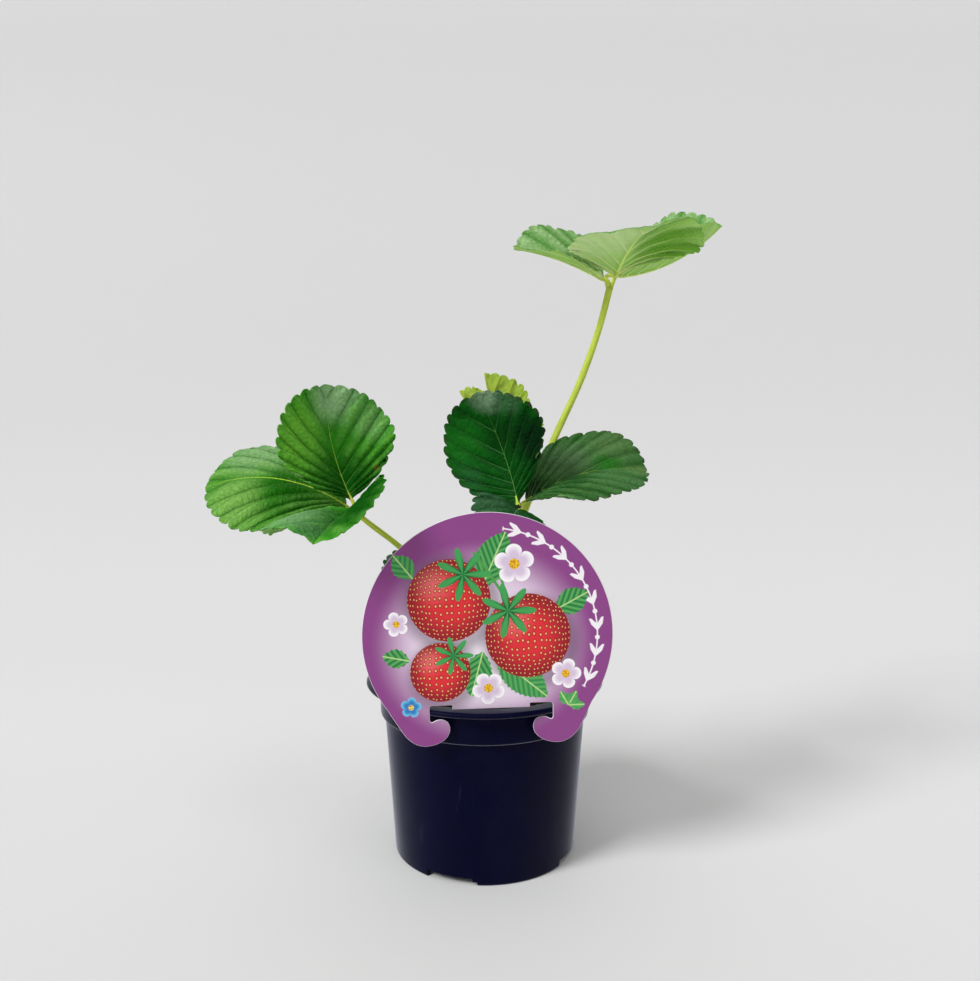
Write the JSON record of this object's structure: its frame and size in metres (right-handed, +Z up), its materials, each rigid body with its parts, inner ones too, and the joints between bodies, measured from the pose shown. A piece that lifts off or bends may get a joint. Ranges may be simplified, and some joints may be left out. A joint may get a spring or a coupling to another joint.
{
  "type": "potted strawberry plant",
  "caption": "Young strawberry plant with toothed three-part leaves on slender stalks, in a dark tapered nursery pot with a round plastic label clipped to its rim.",
  "frame": {"origin": "centre of the pot's base, on the surface that it stands on", "axes": "+Z up; -Y is the front, where the label is; +X is to the right as seen from the front"},
  "size_m": [0.2208, 0.1215, 0.2837],
  "materials": {
    "pot_plastic": "very dark navy moulded polypropylene, satin, with a soft grey sheen",
    "soil": "dark moist peat with fibres and a few pale perlite grains",
    "crown": "short woody stem with papery brown and green stipule sheaths",
    "stem": "fresh yellow-green petiole with fine hairs",
    "leaf_green": "mid green leaf, satin above, paler and matt below",
    "leaf_dark": "very dark green leaf with a greyish sheen, paler and matt below",
    "leaf_light": "leaf seen from below, pale yellow-green with raised veins, blue-green above",
    "leaf_young": "young light yellow-green leaf",
    "label_plastic": "thin printed purple plastic sheet with a soft pale centre, satin"
  },
  "bodies": {
    "root": {"pot": "pot_plastic", "growing_medium": "soil", "crown": "crown", "label": "label_plastic", "left_leaf_petiole": "stem", "left_leaf_upper_leaflet": "leaf_green", "left_leaf_outer_leaflet": "leaf_green", "left_leaf_lower_leaflet": "leaf_green", "centre_leaf_petiole": "stem", "centre_leaf_upper_leaflet": "leaf_dark", "centre_leaf_outer_leaflet": "leaf_dark", "centre_leaf_lower_leaflet": "leaf_dark", "tall_leaf_petiole": "stem", "tall_leaf_front_leaflet": "leaf_light", "tall_leaf_right_leaflet": "leaf_light", "tall_leaf_left_leaflet": "leaf_light", "young_leaf_petiole": "stem", "young_leaf_middle_leaflet": "leaf_young", "young_leaf_left_leaflet": "leaf_young", "young_leaf_right_leaflet": "leaf_young", "low_leaf_petiole": "stem", "low_leaf_outer_leaflet": "leaf_dark", "low_leaf_upper_leaflet": "leaf_dark", "low_leaf_lower_leaflet": "leaf_dark"}
  },
  "joints": []
}
